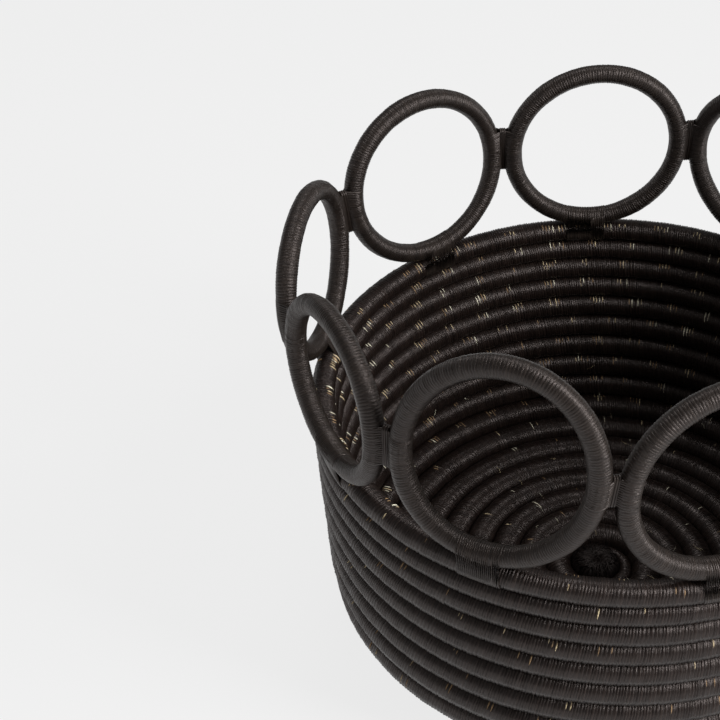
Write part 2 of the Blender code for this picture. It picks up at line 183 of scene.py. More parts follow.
def wound_cord(name, rings, thickness, sides, cyclic=False):
    """A wrapped cord through these rings as a closed mesh.

    Every point carries where it is on the wrapping: round the cord, as a cosine and a sine, and
    along it, counted in wraps.
    """
    curve = bpy.data.curves.new(name, "CURVE")
    curve.dimensions = "3D"
    curve.bevel_depth = thickness / 2
    curve.bevel_resolution = sides // 2 - 2
    curve.twist_mode = "MINIMUM" if cyclic else "Z_UP"
    spline = curve.splines.new("POLY")
    spline.points.add(len(rings) - 1)
    spline.points.foreach_set("co", [v for ring in rings for v in (*ring.middle, 1.0)])
    spline.points.foreach_set("radius", [ring.radius / (thickness / 2) for ring in rings])
    spline.points.foreach_set("tilt", [ring.tilt for ring in rings])
    spline.use_cyclic_u = cyclic
    guide = bpy.data.objects.new(name + "_guide", curve)
    mesh = bpy.data.meshes.new_from_object(guide)
    bpy.data.objects.remove(guide)
    bpy.data.curves.remove(curve)
    mesh.name = name
    place = mesh.attributes.new("wound", "FLOAT_VECTOR", "POINT")
    angles = [TURN * side / sides for side in range(sides)]
    place.data.foreach_set(
        "vector", [v for ring in rings for a in angles for v in (math.cos(a), math.sin(a), ring.wraps)]
    )
    if not cyclic:
        bm = bmesh.new()
        bm.from_mesh(mesh)
        bmesh.ops.holes_fill(bm, edges=bm.edges, sides=sides)
        bmesh.ops.recalc_face_normals(bm, faces=bm.faces)
        bm.to_mesh(mesh)
        bm.free()
    mesh.shade_smooth()
    return mesh


def put(mesh, material, slot, *nodes):
    """A finished piece of the basket, named as its mesh, which stands for these nodes."""
    mesh.materials.append(material)
    piece = bpy.data.objects.new(mesh.name, mesh)
    bpy.context.scene.collection.objects.link(piece)
    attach(piece, "root")
    if nodes:
        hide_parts(*nodes)


def wrapping_group():
    """The look of wrapped sisal: a shade for each wrap, fibres that run round the cord, and grooves darkened
    with painted shade.
    """
    fibre_contrast = 1.6
    fibre_shift = -0.45
    shades = 0.5
    groove_shade_sharpness = 4.0
    fibre_relief = 3.0
    group = bpy.data.node_groups.new("sisal wrapping", "ShaderNodeTree")
    group.interface.new_socket("Fibres per wrap", in_out="INPUT", socket_type="NodeSocketFloat")
    group.interface.new_socket("Tone", in_out="OUTPUT", socket_type="NodeSocketFloat")
    group.interface.new_socket("Relief", in_out="OUTPUT", socket_type="NodeSocketFloat")
    nodes, links = group.nodes, group.links
    given = nodes.new("NodeGroupInput")
    out = nodes.new("NodeGroupOutput")

    def worked(operation, *values):
        node = nodes.new("ShaderNodeMath")
        node.operation = operation
        for socket, value in zip(node.inputs, values):
            if isinstance(value, float):
                socket.default_value = value
            else:
                links.new(value, socket)
        return node.outputs[0]

    place = nodes.new("ShaderNodeAttribute")
    place.attribute_name = "wound"
    parts = nodes.new("ShaderNodeSeparateXYZ")
    links.new(place.outputs["Vector"], parts.inputs[0])
    wraps = parts.outputs["Z"]
    stretched = nodes.new("ShaderNodeCombineXYZ")
    links.new(parts.outputs["X"], stretched.inputs["X"])
    links.new(parts.outputs["Y"], stretched.inputs["Y"])
    links.new(worked("MULTIPLY", wraps, given.outputs["Fibres per wrap"]), stretched.inputs["Z"])
    fibre = nodes.new("ShaderNodeTexNoise")
    fibre.inputs["Scale"].default_value = 1.0
    fibre.inputs["Detail"].default_value = 2.0
    links.new(stretched.outputs[0], fibre.inputs["Vector"])
    shade = nodes.new("ShaderNodeTexWhiteNoise")
    shade.noise_dimensions = "1D"
    links.new(worked("FLOOR", wraps), shade.inputs["W"])
    from_middle = worked("ABSOLUTE", worked("MULTIPLY_ADD", worked("FRACT", wraps), 2.0, -1.0))
    # Painted shade: each wrap's tone darkens towards its grooves, where shade falls between the wraps.
    groove_shade_factor = worked("SUBTRACT", 1.0, worked("POWER", from_middle, groove_shade_sharpness))
    rounded = worked("SUBTRACT", 1.0, worked("MULTIPLY", from_middle, from_middle))
    mottled = worked("MULTIPLY_ADD", fibre.outputs["Fac"], fibre_contrast, fibre_shift)
    blend = worked("MULTIPLY_ADD", shade.outputs["Value"], shades, mottled)
    tone = nodes.new("ShaderNodeClamp")
    links.new(worked("MULTIPLY", blend, groove_shade_factor), tone.inputs["Value"])
    links.new(tone.outputs[0], out.inputs["Tone"])
    links.new(worked("MULTIPLY_ADD", fibre.outputs["Fac"], fibre_relief, rounded), out.inputs["Relief"])
    return group


sisal_wrapping = wrapping_group()


def new_material(name):
    """A material, its node tree and its Principled BSDF."""
    material = bpy.data.materials.new(name)
    material.use_nodes = True
    return material, material.node_tree, material.node_tree.nodes["Principled BSDF"]


def mixed_colour(tree, factor, first, second):
    """The output of a node that mixes these two colours by this factor."""
    colour = tree.nodes.new("ShaderNodeMix")
    colour.data_type = "RGBA"
    colour.inputs["A"].default_value = (*first, 1.0)
    colour.inputs["B"].default_value = (*second, 1.0)
    tree.links.new(factor, colour.inputs["Factor"])
    return colour.outputs["Result"]


def sisal(name, dark, light, roughness, shine, relief):
    """Dyed sisal, from the dark to the light colour from wrap to wrap and fibre to fibre, darker in the
    painted shade of its grooves.
    """
    material, tree, shader = new_material(name)
    wrapping = tree.nodes.new("ShaderNodeGroup")
    wrapping.node_tree = sisal_wrapping
    wrapping.inputs["Fibres per wrap"].default_value = 5.0
    tree.links.new(mixed_colour(tree, wrapping.outputs["Tone"], dark, light), shader.inputs["Base Color"])
    shader.inputs["Roughness"].default_value = roughness
    shader.inputs["Specular IOR Level"].default_value = shine
    # The dye warms what the fibres reflect.
    shader.inputs["Specular Tint"].default_value = (1.0, 0.87, 0.83, 1.0)
    bump = tree.nodes.new("ShaderNodeBump")
    bump.inputs["Distance"].default_value = relief
    tree.links.new(wrapping.outputs["Relief"], bump.inputs["Height"])
    tree.links.new(bump.outputs["Normal"], shader.inputs["Normal"])
    return material


body_sisal = sisal(
    "body sisal", dark=(0.002, 0.0011, 0.0010), light=(0.024, 0.0155, 0.0125),
    roughness=0.35, shine=0.5, relief=0.10 * MM,
)


def body_wraps():
    """Rings of the whole body cord, three to a wrap, and its slits.

    A slit is its place in rounds, and how many more wraps stand apart after it at the same stitch.
    """
    chance = random.Random(11)
    swell = wandering(12, BODY_SWELLS)
    rings = []
    slits = []
    rounds = first_round
    wraps = 0
    to_stitch = STITCH_SPACING
    open_wraps = 0
    along = 0.0
    while rounds < rounds_in_all:
        section = body_section(rounds)
        circumference = TURN * section.radius
        width = WRAP_WIDTH * chance.uniform(*WRAP_WIDTH_SHARES)
        slit = 0.0
        if to_stitch <= 0 and open_wraps == 0:
            open_wraps = chance.choice(OPEN_WRAPS)
            count = round(circumference / STITCH_SPACING) - STITCH_DRIFT
            to_stitch += circumference / count * chance.uniform(*STITCH_SPACING_SHARES)
        if open_wraps:
            slit = SLIT_WIDTH
            open_wraps -= 1
            slits.append((rounds + slit / 2 / circumference, open_wraps))
        fullness = BODY_FULLNESS + swell(along)
        crest = section.thickness / 2 * fullness + CREST_UNEVENNESS * chance.uniform(-1, 1)
        depth = GROOVE_DEPTH * chance.choice(GROOVE_DEPTH_SHARES)
        groove = crest - min(depth, section.thickness * DEEPEST_GROOVE_SHARE)
        per_metre = 1 / circumference
        for (share, wrapped), ring_radius in zip(WRAP_RINGS, (groove, crest, crest)):
            at = rounds + (slit / 2 + width * share) * per_metre
            if at < rounds_in_all:
                here = body_section(at)
                rings.append(Ring(here.middle, ring_radius, here.slope, wraps + wrapped, at))
        rounds += (width + slit) * per_metre
        along += width + slit
        to_stitch -= width + slit
        wraps += 1
    return rings, slits


body_rings, body_slits = body_wraps()


def add_body():
    """The winding in lengths, each from one stretch of the cord."""
    share = math.ceil(len(body_rings) / BODY_PIECES)
    for part in range(BODY_PIECES):
        rings = body_rings[part * share:(part + 1) * share + 1]
        mesh = wound_cord(f"body_winding_{part + 1}", rings, BASE_PITCH, BODY_SIDES)
        for index, vertex in enumerate(mesh.vertices):
            ring = rings[index // BODY_SIDES]
            _, upward, along = cord_directions(ring.rounds, ring.tilt)
            lead = (vertex.co - ring.middle).dot(upward) * WRAP_SLANT
            vertex.co -= along * lead
            # The cord is pressed flat where the basket stands on it.
            vertex.co.z = max(vertex.co.z, 0.0)
        put(mesh, body_sisal, "body_sisal", "body_coil")


add_body()


# The start knot. The cord's first turns, wrapped through their own middle into a low button, over which
# loose strands of the sisal fan out and curl like the petals of a daisy. Its foot spreads under the
# first round, where the cord is still thin.
KNOT_FOOT = ((13.2 * MM, 0.0), (13.4 * MM, 0.9 * MM))
KNOT_DOME = (
    # distance from the middle and height of the button's outline, from its edge to its middle
    (11.0 * MM, 2.0 * MM), (11.4 * MM, 5.0 * MM), (11.0 * MM, 7.6 * MM), (10.0 * MM, 9.6 * MM),
    (8.2 * MM, 11.0 * MM), (5.6 * MM, 11.7 * MM), (3.2 * MM, 11.5 * MM), (1.6 * MM, 11.0 * MM),
    (0.0, 10.7 * MM),
)
KNOT_WRAPS = 30
KNOT_SPIN_STEPS = 4 * KNOT_WRAPS
KNOT_UNGROOVED = 1.0 * MM
KNOT_GROOVE_DEPTH = 0.8 * MM
KNOT_GROOVE_NARROWING = 0.03
# How much lower than the highest a wrap may lie, in groove depths.
KNOT_SINKING = (0.0, 0.7)
KNOT_STRANDS = 170
STRAND = 0.42 * MM
STRAND_SIDES = 4
STRAND_STEPS = 7
# The least and the most of each strand's curl, of the millimetres from the middle where it starts and
# where it ends, and of how far it bows up in between.
STRAND_CURLS = (-0.4, 1.3)
STRAND_STARTS = (0.2, 4.5)
STRAND_ENDS = (6.5, 10.6)
STRAND_BOWS = (-0.05, 0.4)


def knot_height(reach):
    """How high the button's top is at this distance from its middle."""
    for (outer, low), (inner, high) in zip(KNOT_DOME[2:], KNOT_DOME[3:]):
        if reach >= inner:
            return high + (low - high) * min((reach - inner) / (outer - inner), 1.0)


knot_sisal = sisal(
    "knot sisal", dark=(0.0012, 0.0008, 0.0007), light=(0.012, 0.008, 0.007),
    roughness=0.5, shine=0.3, relief=0.05 * MM,
)


def knot_button(chance):
    """The wrapped button: its outline spun round, with a groove between wraps that lie unevenly."""
    bm = bmesh.new()
    outline = ((0.0, 0.0), *KNOT_FOOT, *KNOT_DOME)
    corners = [bm.verts.new((radius, 0.0, height)) for radius, height in outline]
    edges = [bm.edges.new(pair) for pair in zip(corners, corners[1:])]
    bmesh.ops.spin(
        bm, geom=corners + edges, cent=(0, 0, 0), axis=(0, 0, 1), angle=TURN, steps=KNOT_SPIN_STEPS,
        use_merge=True,
    )
    bmesh.ops.remove_doubles(bm, verts=bm.verts, dist=0.001 * MM)
    sunk = [chance.uniform(*KNOT_SINKING) for _ in range(KNOT_WRAPS)]
    wound = []
    for vertex in bm.verts:
        reach = vertex.co.xy.length
        wraps = math.atan2(vertex.co.y, vertex.co.x) / TURN % 1 * KNOT_WRAPS
        wound.append((reach / KNOT_RADIUS, vertex.co.z / KNOT_RADIUS, wraps))
        if reach > KNOT_UNGROOVED and vertex.co.z > KNOT_UNGROOVED:
            # The grooves run out towards the middle.
            groove = abs(wraps % 1 * 2 - 1) ** 2 + sunk[int(wraps) % KNOT_WRAPS]
            vertex.co.z -= groove * KNOT_GROOVE_DEPTH * min(reach / KNOT_RADIUS * 1.5, 1.0)
            vertex.co.xy *= 1 - groove * KNOT_GROOVE_NARROWING
    mesh = bpy.data.meshes.new("start_knot_wraps")
    bm.to_mesh(mesh)
    bm.free()
    place = mesh.attributes.new("wound", "FLOAT_VECTOR", "POINT")
    place.data.foreach_set("vector", [v for found in wound for v in found])
    return mesh


def knot_strand(chance, number):
    """One loose strand that lies over the button, within a wrap of its own, so that it has one shade."""
    start = chance.uniform(0.0, TURN)
    curl = chance.uniform(*STRAND_CURLS)
    inner = chance.uniform(*STRAND_STARTS) * MM
    outer = chance.uniform(*STRAND_ENDS) * MM
    bow = chance.uniform(*STRAND_BOWS) * MM
    rings = []
    for step in range(STRAND_STEPS + 1):
        reach = inner + (outer - inner) * step / STRAND_STEPS
        height = knot_height(reach) + bow * math.sin(math.pi * step / STRAND_STEPS)
        middle = polar(reach, start + curl * step / STRAND_STEPS, height)
        rings.append(Ring(middle, STRAND / 2, 0.0, number + 0.2 + 0.08 * step))
    return wound_cord("start_knot_strand", rings, STRAND, STRAND_SIDES)


def add_knot():
    chance = random.Random(21)
    mesh = knot_button(chance)
    bm = bmesh.new()
    bm.from_mesh(mesh)
    for number in range(KNOT_STRANDS):
        strand = knot_strand(chance, number)
        bm.from_mesh(strand)
        bpy.data.meshes.remove(strand)
    bmesh.ops.recalc_face_normals(bm, faces=bm.faces)
    bm.to_mesh(mesh)
    bm.free()
    mesh.shade_smooth()
    put(mesh, knot_sisal, "body_sisal", "start_knot")


add_knot()


# The hoops. Nine rings of a thinner cord, a bundle of straw wrapped with the same dyed sisal. Each is bent
# by hand, so no two are alike, and stands upright on the rim against the next.
HOOP_CORD = 8.2 * MM
HOOP_FULLNESS = 1.045
HOOP_SIDES = 14
HOOP_HEIGHT = 74.0 * MM
HOOP_SEAT_GAP = 0.4 * MM
HOOP_GROOVE_DEPTH = 0.12 * MM
HOOP_CREST_UNEVENNESS = 0.05 * MM
HOOP_SWELLS = ((90 * MM, 0.014), (41 * MM, 0.014), (19 * MM, 0.010))
FIRST_HOOP_AZIMUTH = math.radians(-13.6)
HandBent = namedtuple("HandBent", "width height skew lean seat space")
HAND_BENT = (
    # width and height against the usual ones, skew and lean in degrees, and in cords, how far outside
    # the rim's middle it sits and how far off the next hoop is
    HandBent(1.01, 1.055, 0.0, -1.5, -0.06, 0.2),
    HandBent(0.96, 1.138, -8.5, -1.0, 0.18, 0.31),
    HandBent(0.992, 0.891, -4.9, -1.0, 0.42, 0.13),
    HandBent(1.0, 0.901, -3.3, 2.2, 0.48, -0.17),
    HandBent(1.055, 1.019, -5.0, 2.2, -0.2, 0.12),
    HandBent(1.005, 1.009, 3.8, -0.4, -0.3, 0.06),
    HandBent(1.066, 0.97, -2.0, 2.0, -0.06, 0.12),
    HandBent(1.056, 1.03, 4.0, -1.0, 0.18, 0.06),
    HandBent(1.066, 0.985, -3.0, 1.5, 0.0, 0.12),
)


def rim_section(azimuth):
    """The body cord where it last passes this azimuth, on top of the wall."""
    return body_section(rim_rounds(azimuth))


def rim_rounds(azimuth):
    """How many rounds the cord has made there."""
    return rounds_in_all - (RIM_END_AZIMUTH - azimuth) % TURN / TURN


class Hoop:
    """One hoop: an upright oval, drawn up to one side, whose lowest point sits on the rim."""

    def __init__(self, bent, azimuth, half_width):
        self.skew = math.radians(bent.skew)
        self.lean = math.radians(bent.lean)
        self.azimuth = azimuth
        self.half_width = half_width
        self.half_height = HOOP_HEIGHT * bent.height / 2
        self.foot = -half_width * math.sin(self.skew)
        radius = rim_section(azimuth).radius + HOOP_CORD * bent.seat
        rim = rim_section(azimuth + math.asin(self.foot / radius))
        reach = (rim.thickness - COIL_GAP + HOOP_CORD) / 2 + HOOP_SEAT_GAP
        self.base = polar(radius, azimuth, rim.middle.z + math.sqrt(reach ** 2 - (radius - rim.radius) ** 2))
        self.along = outward(azimuth + TURN / 4)
        self.up = outward(azimuth) * math.sin(self.lean) + Vector((0, 0, math.cos(self.lean)))

    def at(self, angle):
        """The point at this angle round the oval, whose foot is at minus a quarter turn."""
        across = self.half_width * math.cos(angle - self.skew)
        return self.base + self.along * across + self.up * self.half_height * (1 + math.sin(angle))

    def beside(self, along):
        """The point of the lower half at this distance along the rim from the hoop's middle."""
        return self.at(self.skew - math.acos(along / self.half_width))

    def rounds_beside(self, along):
        """How many rounds the body cord has made under that point."""
        return rim_rounds(self.azimuth + math.asin(along / self.base.xy.length))

    def side_height(self, side):
        """Where the hoop is widest, on the side towards higher (+1) or lower (-1) azimuths."""
        return self.base.z + self.half_height * (1 + side * math.sin(self.skew)) * math.cos(self.lean)

    def at_height(self, height, side):
        """The point of that side at this height."""
        above = math.asin((height - self.base.z) / (self.half_height * math.cos(self.lean)) - 1)
        return self.at(above if side > 0 else TURN / 2 - above)


def half_angle(half_width, distance, space):
    """The angle round the basket from a hoop's middle to the middle of the space beside it."""
    reach = math.hypot(half_width, distance)
    return math.atan2(half_width, distance) + math.asin(HOOP_CORD * (1 + space) / 2 / reach)


def place_hoops():
    """Hoops of the compared widths, scaled together until they fill the rim side by side.

    How far out the rim is depends on where the hoops stand, so a few passes are made.
    """
    passes = 4
    halvings = 60
    count = len(HAND_BENT)
    azimuths = [FIRST_HOOP_AZIMUTH + i * TURN / count for i in range(count)]
    for _ in range(passes):
        distances = []
        for azimuth, bent in zip(azimuths, HAND_BENT):
            leant = HOOP_HEIGHT * bent.height / 2 * math.sin(math.radians(bent.lean))
            distances.append(rim_section(azimuth).radius + HOOP_CORD * bent.seat + leant)
        low, high = 0.0, 2 * RIM_RADIUS
        for _ in range(halvings):
            unit = (low + high) / 2
            before = []
            after = []
            for i, (bent, distance) in enumerate(zip(HAND_BENT, distances)):
                before.append(half_angle(unit * bent.width, distance, HAND_BENT[i - 1].space))
                after.append(half_angle(unit * bent.width, distance, bent.space))
            if sum(before) + sum(after) > TURN:
                high = unit
            else:
                low = unit
        for i in range(1, count):
            azimuths[i] = azimuths[i - 1] + after[i - 1] + before[i]
    return [Hoop(bent, azimuth, unit * bent.width) for bent, azimuth in zip(HAND_BENT, azimuths)]


hoops = place_hoops()
hoop_sisal = sisal(
    "hoop sisal", dark=(0.006, 0.0045, 0.0038), light=(0.026, 0.019, 0.015),
    roughness=0.38, shine=0.5, relief=0.08 * MM,
)


def add_hoop(number, hoop):
    """Whole wraps, each of its own width, that close into a ring."""
    chance = random.Random(100 + number)
    swell = wandering(200 + number, HOOP_SWELLS)
    chords = 360
    nudge = 0.005
    circumference = sum(
        (hoop.at(TURN * i / chords) - hoop.at(TURN * (i + 1) / chords)).length for i in range(chords)
    )
    count = round(circumference / WRAP_WIDTH)
    widths = [chance.uniform(*WRAP_WIDTH_SHARES) for _ in range(count)]
    scale = circumference / sum(widths)
    angle = 0.0
    along = 0.0
    rings = []
    for wraps, width in enumerate(widths):
        width *= scale
        metres_per_radian = (hoop.at(angle + nudge) - hoop.at(angle - nudge)).length / (2 * nudge)
        fullness = HOOP_FULLNESS + swell(along)
        crest = HOOP_CORD / 2 * fullness + HOOP_CREST_UNEVENNESS * chance.uniform(-1, 1)
        for (share, _), radius in zip(WRAP_RINGS, (crest - HOOP_GROOVE_DEPTH, crest, crest)):
            middle = hoop.at(angle + width * share / metres_per_radian)
            rings.append(Ring(middle, radius, 0.0, wraps + share))
        angle += width / metres_per_radian
        along += width
    mesh = wound_cord(f"hoop_{number}_wraps", rings, HOOP_CORD, HOOP_SIDES, cyclic=True)
    put(mesh, hoop_sisal, "hoop_sisal", f"hoop_{number}")


for number, hoop in enumerate(hoops, 1):
    add_hoop(number, hoop)


# The lashings. Turns of the same dyed sisal: over each hoop's foot and down both sides of the rim, and
# in figures of eight round two hoops where they stand side by side. A few upright turns bind the seam
# where these cross, so that it closes to a web between the hoops.
THREAD = 1.1 * MM
THREAD_SIDES = 8
THREAD_STEP_SHARES = (0.66, 0.84)
# How far the threads stand out from the cords that they hold.
RIM_PROUD = 0.42 * MM
SIDE_PROUD = 0.30 * MM
RIM_LASHING_LENGTH = 17.0 * MM
# The bends of a turn round one side of the rim and then of the hoop's foot, in degrees from upright.
ROUND_THE_RIM = (150, 130, 110, 92)
ROUND_THE_FOOT = (86, 66, 46, 28, 10)
SIDE_LASHINGS = (
    # height, and how far its middle is above the place where the hoops are widest
    (10.0 * MM, 0.0), (15.0 * MM, 0.0), (19.0 * MM, 1.5 * MM), (19.0 * MM, 2.0 * MM), (18.0 * MM, 3.0 * MM),
    (17.0 * MM, 1.5 * MM), (16.0 * MM, 0.0), (18.0 * MM, 2.0 * MM), (16.0 * MM, 1.0 * MM),
)
# The upright turns of the seam: where they lie, in threads, and how far they stand off its middle.
SEAM_PLACES = (-0.85, 0.0, 0.85)
SEAM_DEPTH = 1.3 * MM


def threads(name, loops, cyclic):
    """Turns of thread, each through its own points and with its own shade, as one closed mesh."""
    bm = bmesh.new()
    for turn, points in enumerate(loops):
        # A turn stays in the middle of one wrap of the look, clear of the painted shade of its grooves.
        shades = [turn + 0.3 + 0.4 * i / len(points) for i in range(len(points))]
        rings = [Ring(point, THREAD / 2, 0.0, shade) for point, shade in zip(points, shades)]
        mesh = wound_cord(name + "_turn", rings, THREAD, THREAD_SIDES, cyclic)
        bm.from_mesh(mesh)
        bpy.data.meshes.remove(mesh)
    bmesh.ops.recalc_face_normals(bm, faces=bm.faces)
    mesh = bpy.data.meshes.new(name)
    bm.to_mesh(mesh)
    bm.free()
    mesh.shade_smooth()
    return mesh


def bound_places(seed, length):
    """Where each turn lies along a lashing, each a little over the one before."""
    chance = random.Random(seed)
    places = [0.0]
    while places[-1] < length - THREAD:
        places.append(places[-1] + THREAD * chance.uniform(*THREAD_STEP_SHARES))
    return [place - places[-1] / 2 for place in places]


def add_rim_lashing(number, hoop):
    out = outward(hoop.azimuth)
    foot_reach = HOOP_CORD / 2 + RIM_PROUD - THREAD / 2
    loops = []
    for place in bound_places(300 + number, RIM_LASHING_LENGTH):
        along = hoop.foot + place
        foot = hoop.beside(along)
        rim = body_section(hoop.rounds_beside(along))
        rim_reach = rim.thickness / 2 * BODY_FULLNESS + RIM_PROUD - THREAD / 2
        legs = []
        for side in (-1, 1):
            leg = []
            for centre, reach, bends in (
                (rim.middle, rim_reach, ROUND_THE_RIM), (foot, foot_reach, ROUND_THE_FOOT)
            ):
                for bend in bends:
                    turned = math.radians(bend)
                    aside = out * math.sin(turned) * side + Vector((0, 0, math.cos(turned)))
                    leg.append(centre + aside * reach)
            legs.append(leg)
        loops.append(legs[0] + legs[1][::-1])
    mesh = threads(f"rim_lashing_{number}_thread", loops, cyclic=False)
    put(mesh, hoop_sisal, "lashing_thread", f"rim_lashing_{number}")


def figure_of_eight(hoop, following, height):
    """A turn round both hoops at this height, which crosses over between them."""
    steps = 4
    reach = HOOP_CORD / 2 + SIDE_PROUD - THREAD / 2
    first = hoop.at_height(height, +1)
    second = following.at_height(height, -1)
    points = []
    for here, there, owner, side in ((second, first, following, -1), (first, second, hoop, +1)):
        climb = (owner.at_height(height + MM, side) - here).normalized()
        away = here - there
        leaves = TURN / 2 - math.acos(min(2 * reach / away.length, 1.0))
        away = (away - climb * away.dot(climb)).normalized()
        beside = climb.cross(away) * -side
        for step in range(2 * steps + 1):
            bend = leaves * (step / steps - 1)
            points.append(here + (away * math.cos(bend) + beside * math.sin(bend)) * reach)
    return points


def seam_turn(low, high, level, aside):
    """An upright turn of thread round the seam from its low to its high end."""
    rising = (high - low).normalized()
    depth = level.cross(rising)
    points = []
    for end, sense in ((low, -1), (high, +1)):
        for degrees in range(-90, 91, 30):
            bend = math.radians(degrees)
            turned = depth * math.sin(bend) * sense + rising * math.cos(bend) * sense
            points.append(end + level * aside * THREAD + turned * SEAM_DEPTH)
    return points


def add_side_lashing(number, hoop, following):
    length, above = SIDE_LASHINGS[number - 1]
    middle = (hoop.side_height(+1) + following.side_height(-1)) / 2 + above
    loops = [
        figure_of_eight(hoop, following, middle + place)
        for place in bound_places(400 + number, length)
    ]
    low, high = [
        (hoop.at_height(height, +1) + following.at_height(height, -1)) / 2
        for height in (middle - length / 2, middle + length / 2)
    ]
    level = (following.at_height(middle, -1) - hoop.at_height(middle, +1)).normalized()
    loops += [seam_turn(low, high, level, aside) for aside in SEAM_PLACES]
    mesh = threads(f"side_lashing_{number}_thread", loops, cyclic=True)
    put(mesh, hoop_sisal, "lashing_thread", f"side_lashing_{number}")


for number, hoop in enumerate(hoops, 1):
    add_rim_lashing(number, hoop)
    add_side_lashing(number, hoop, hoops[number % len(hoops)])


# The straw core where it shows: in the slits between the wraps that are pulled apart at each stitch, and
# beside the feet of the hoops, slivers of undyed straw are left bare. Bits of it lie loose in the basket.
STRAW_COLOURS = {"bright": (1.0, 0.95, 0.74), "plain": (0.72, 0.58, 0.36), "brown": (0.36, 0.23, 0.12)}
STRAW_BROWNED = (0.12, 0.07, 0.035)
STRAW_PATCHES_PER_METRE = 500.0
STRAW_WIDTH = 0.72 * MM
# How many of the bright, plain and brown slivers there are: one of four mixes inside, one mix outside.
INSIDE_MIXES = ((0, 2, 5), (0, 3, 4), (2, 3, 3), (5, 3, 1))
OUTSIDE_MIX = (0, 2, 5)
# Which share of the slits stays dark, inside the wall and elsewhere, and where the wall begins.
DARK_SHARE_INSIDE = 0.2
DARK_SHARE_ELSEWHERE = 0.8
WALL_FROM_SLOPE = math.radians(25)
UNDERSIDE_TO_SLOPE = math.radians(30)
# A sliver's widths from its top to its tip, its sizes, and in degrees how far round the cord it goes.
SLIVER_WIDTHS = (0.6, 1.0, 0.9, 0.65, 0.2)
SLIVER_SIZES = (0.5, 1.0)
SLIVER_DEGREES = (32, 56)
BRIGHT_SIZE = 1.2
# Where it starts, in degrees: in the flat base, how much higher in the steep wall, and the spread.
SLIVER_START = 34
SLIVER_START_RISE = 30
SLIVER_START_SPREAD = 6
# Beside a hoop's foot: slivers on each side, how far the first is from the lashing and how far apart
# they are in millimetres, their sizes, and where they start in degrees.
FOOT_SLIVERS = 3
FIRST_FOOT_SLIVER = 1.0
FOOT_SLIVER_STEP = 1.6
FOOT_SLIVER_SIZES = (0.7, 1.3)
FOOT_SLIVER_STARTS = (56, 70)
# The loose bits: in which rounds they lie, how far they turn as they go, their millimetres of length,
# how far off the cord's middle line they lie in its thickness, and how they stand off it.
LOOSE_BITS = 80
LOOSE_BIT_STEPS = 5
LOOSE_BIT_WIDTH = 0.22
LOOSE_BIT_ROUNDS = (1.0, 11.0)
LOOSE_BIT_TURNS = (-1.5, 1.5)
LOOSE_BIT_LENGTHS = (2.0, 6.0)
LOOSE_BIT_SHIFTS = (-0.2, 0.2)
LOOSE_BIT_GAP = 0.1 * MM
LOOSE_BIT_LIFT = 0.4 * MM


def straw_material(name, colour):
    """Straw of this colour, browner in patches."""
    material, tree, shader = new_material(name)
    place = tree.nodes.new("ShaderNodeTexCoord")
    noise = tree.nodes.new("ShaderNodeTexNoise")
    noise.inputs["Scale"].default_value = STRAW_PATCHES_PER_METRE
    tree.links.new(place.outputs["Object"], noise.inputs["Vector"])
    spread = tree.nodes.new("ShaderNodeMapRange")
    spread.inputs["From Min"].default_value = 0.32
    spread.inputs["From Max"].default_value = 0.52
    tree.links.new(noise.outputs["Fac"], spread.inputs["Value"])
    mixed = mixed_colour(tree, spread.outputs[0], STRAW_BROWNED, colour)
    tree.links.new(mixed, shader.inputs["Base Color"])
    shader.inputs["Roughness"].default_value = 0.6
    return material


def straw_curve(tone):
    curve = bpy.data.curves.new(f"straw_{tone}", "CURVE")
    curve.dimensions = "3D"
    curve.bevel_depth = STRAW_WIDTH / 2
    curve.bevel_resolution = 0
    curve.use_fill_caps = True
    return curve


straw_chance = random.Random(31)
straw_curves = {tone: straw_curve(tone) for tone in STRAW_COLOURS}


def add_sliver(tone, rounds, face, size, start):
    """A sliver that tapers down one face of the cord, inside (+1) or outside (-1) the basket."""
    section = body_section(rounds)
    inward, upward, along = cord_directions(rounds, section.slope)
    reach = math.radians(straw_chance.uniform(*SLIVER_DEGREES)) * size
    last = len(SLIVER_WIDTHS) - 1
    spline = straw_curves[tone].splines.new("POLY")
    spline.points.add(last)
    for i, point in enumerate(spline.points):
        angle = math.radians(start) - reach * i / last
        away = inward * math.cos(angle) * face + upward * math.sin(angle)
        lead = along * WRAP_SLANT * math.sin(angle) * section.thickness / 2
        point.co = (*(section.middle + away * section.thickness / 2 - lead), 1.0)
        point.radius = SLIVER_WIDTHS[i] * (0.45 + 0.55 * size)


def add_straw_in_slits():
    mix = (1, 1, 1)
    for rounds, following in body_slits:
        slope = body_section(rounds).slope
        if following == 0:
            mix = straw_chance.choice(INSIDE_MIXES)
        for face in (1, -1):
            in_wall = face > 0 and slope > WALL_FROM_SLOPE
            underneath = face < 0 and slope < UNDERSIDE_TO_SLOPE
            dark_share = DARK_SHARE_INSIDE if in_wall else DARK_SHARE_ELSEWHERE
            if straw_chance.random() < dark_share or underneath:
                continue
            tone = straw_chance.choices(tuple(STRAW_COLOURS), mix if face > 0 else OUTSIDE_MIX)[0]
            size = straw_chance.uniform(*SLIVER_SIZES) * (BRIGHT_SIZE if tone == "bright" else 1.0)
            # The steeper the wall, the further up the cord's face the straw is seen.
            start = SLIVER_START + SLIVER_START_RISE * slope / profile.steepest
            start += straw_chance.uniform(-SLIVER_START_SPREAD, SLIVER_START_SPREAD)
            add_sliver(tone, rounds, face, size, start)


def add_straw_at_feet():
    for hoop in hoops:
        for side in (-1, 1):
            for step in range(FOOT_SLIVERS):
                off_lashing = (FIRST_FOOT_SLIVER + FOOT_SLIVER_STEP * step) * MM
                along = hoop.foot + side * (RIM_LASHING_LENGTH / 2 + off_lashing)
                tone = straw_chance.choice(tuple(STRAW_COLOURS))
                size = straw_chance.uniform(*FOOT_SLIVER_SIZES)
                start = straw_chance.uniform(*FOOT_SLIVER_STARTS)
                add_sliver(tone, hoop.rounds_beside(along), 1, size, start)


